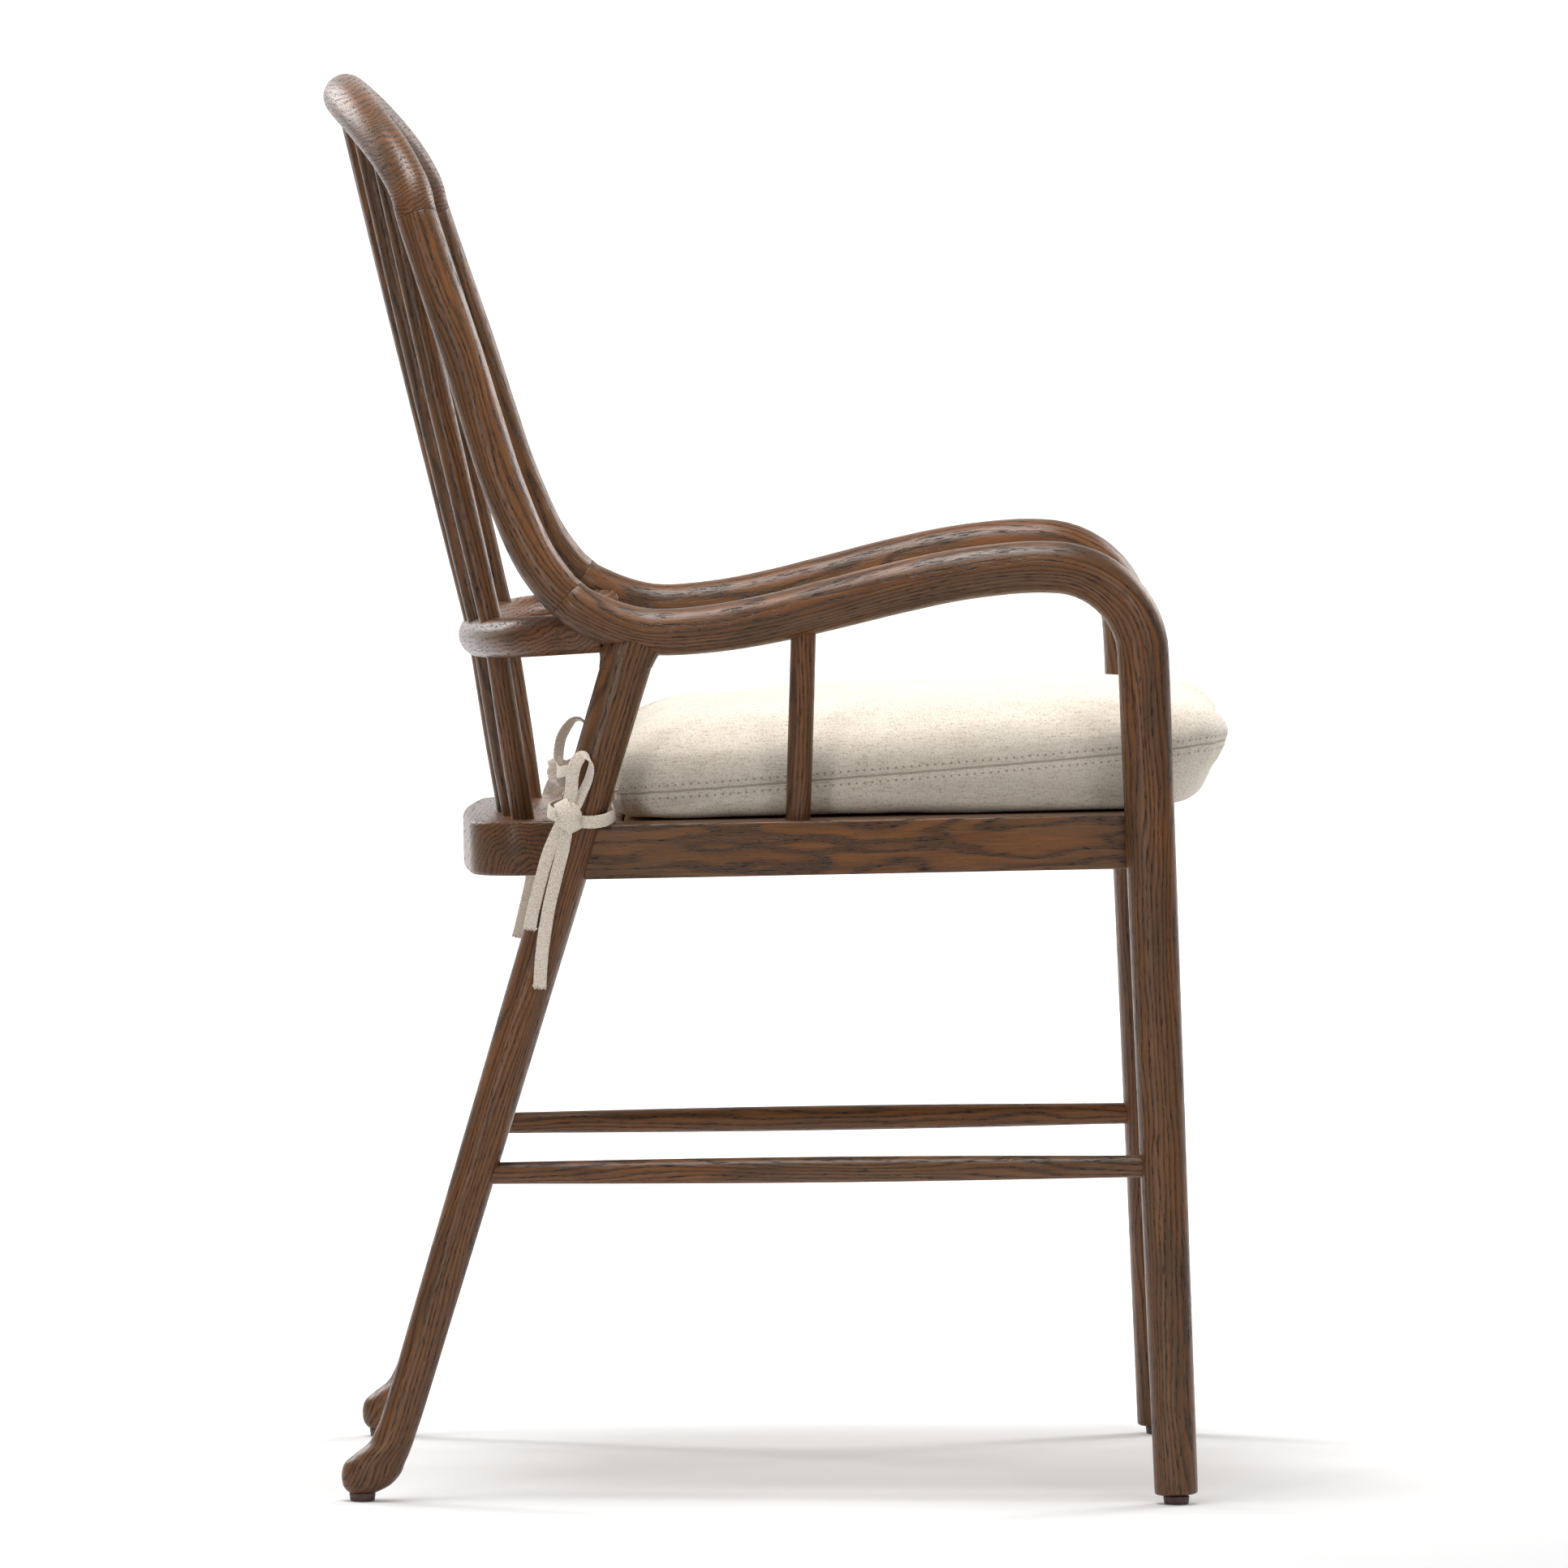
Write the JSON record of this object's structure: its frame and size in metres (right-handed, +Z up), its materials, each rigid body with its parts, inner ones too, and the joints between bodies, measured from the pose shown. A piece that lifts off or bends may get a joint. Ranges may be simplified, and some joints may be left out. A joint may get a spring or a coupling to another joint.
{
  "type": "armchair",
  "caption": "Wooden armchair whose arms bend down into the front legs, with a spindle back under an arched crest, a lumbar rail at arm height and a tied seat cushion",
  "frame": {"origin": "on the floor, under the middle of the chair's bounding box", "axes": "+Z up; the chair faces -Y; +X is the sitter's left"},
  "size_m": [0.5568, 0.611, 0.9377],
  "materials": {
    "stained_wood": "dark brown stain under a satin lacquer, open grain",
    "beech": "unfinished, sanded",
    "birch_plywood": "unfinished, sanded",
    "linen": "natural linen twill with stitched seams",
    "foam": "cut polyurethane foam, wrapped",
    "cotton_tape": "woven flat cotton tape",
    "nylon": "moulded, slightly scuffed",
    "zinc_steel": "zinc plated"
  },
  "bodies": {
    "root": {"crest_rail": "stained_wood", "back_post_right": "stained_wood", "back_post_left": "stained_wood", "crest_dowels": "beech", "knuckle_dowels": "beech", "arm_and_front_leg_right": "stained_wood", "arm_and_front_leg_left": "stained_wood", "rear_leg_right": "stained_wood", "rear_leg_left": "stained_wood", "lumbar_rail": "stained_wood", "arm_support_right": "stained_wood", "arm_support_left": "stained_wood", "stretcher_right": "stained_wood", "stretcher_left": "stained_wood", "back_spindle_1": "stained_wood", "back_spindle_2": "stained_wood", "back_spindle_3": "stained_wood", "back_spindle_4": "stained_wood", "back_spindle_5": "stained_wood", "back_spindle_6": "stained_wood", "back_spindle_7": "stained_wood", "lower_spindle_1": "stained_wood", "lower_spindle_2": "stained_wood", "lower_spindle_3": "stained_wood", "lower_spindle_4": "stained_wood", "lower_spindle_5": "stained_wood", "lower_spindle_6": "stained_wood", "lower_spindle_7": "stained_wood", "side_rail_right": "stained_wood", "side_rail_left": "stained_wood", "front_rail": "stained_wood", "rear_rail": "stained_wood", "rear_board": "stained_wood", "board_dowels": "beech", "seat_panel": "birch_plywood", "panel_cleat_right": "beech", "panel_cleat_left": "beech", "corner_block_right": "beech", "corner_block_left": "beech", "frame_screws": "zinc_steel", "cushion_cover": "linen", "cushion_foam": "foam", "tie_outer_right": "cotton_tape", "tie_inner_right": "cotton_tape", "tie_knot_right": "cotton_tape", "tie_outer_left": "cotton_tape", "tie_inner_left": "cotton_tape", "tie_knot_left": "cotton_tape", "glide_front_right": "nylon", "glide_front_left": "nylon", "glide_rear_right": "nylon", "glide_rear_left": "nylon", "glide_nails": "zinc_steel"}
  },
  "joints": []
}
